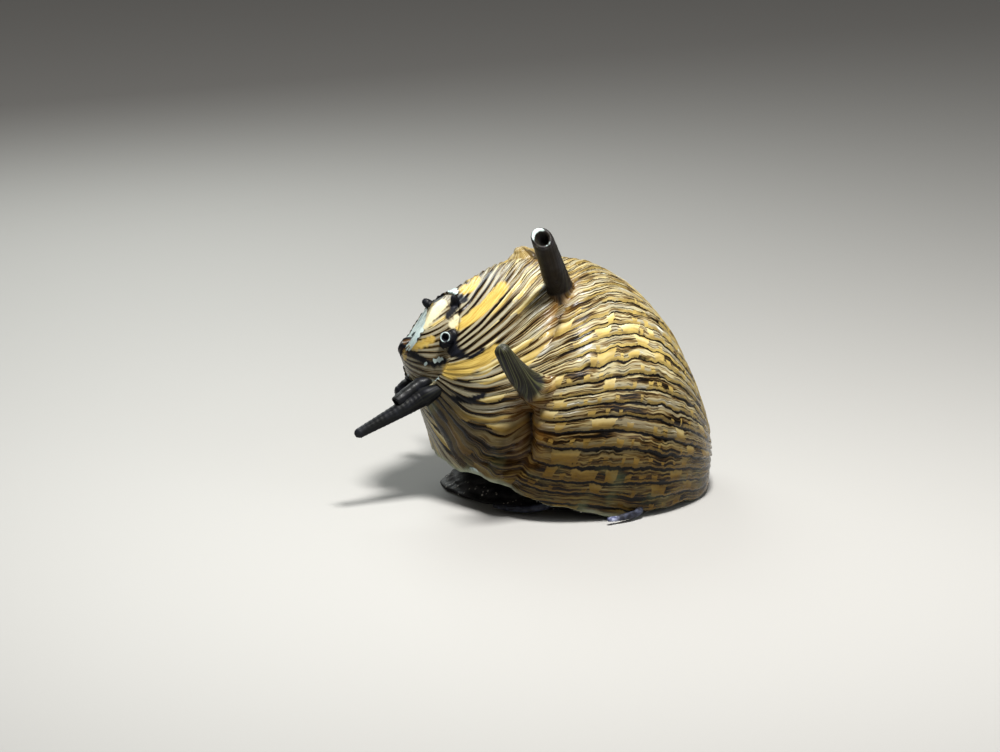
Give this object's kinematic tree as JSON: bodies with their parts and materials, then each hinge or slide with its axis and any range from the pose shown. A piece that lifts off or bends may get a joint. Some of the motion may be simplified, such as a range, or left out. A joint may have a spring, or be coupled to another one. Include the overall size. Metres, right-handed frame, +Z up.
{
  "type": "nerite snail",
  "caption": "Life-size still model of a horned nerite snail crawling, with a domed ribbed shell, curved shoulder horns, a broad flat foot and short feelers.",
  "frame": {"origin": "on the floor, in the flat sole of the foot, near its middle", "axes": "+Z up, the animal faces -Y, the apex of the shell points to -X"},
  "size_m": [0.0252, 0.0217, 0.0207],
  "materials": {
    "shell": "satin ribs, olive yellow with black growth lines",
    "spire": "worn satin, ochre, black and pale blue",
    "horn": "glossy blue-black",
    "flesh": "moist, near black",
    "tentacle": "moist, slate blue",
    "eye": "gloss black"
  },
  "bodies": {
    "root": {"foot": "flesh", "head": "flesh", "tentacle_left": "tentacle", "tentacle_right": "tentacle", "eye_left": "eye", "eye_right": "eye", "shell_body_whorl": "shell", "shell_spire": "spire", "horn_mid": "horn", "horn_top": "horn", "horn_crest": "horn", "horn_back_upper": "horn", "horn_back_lower": "horn", "horn_left_long": "horn", "horn_left_short": "horn"}
  },
  "joints": []
}
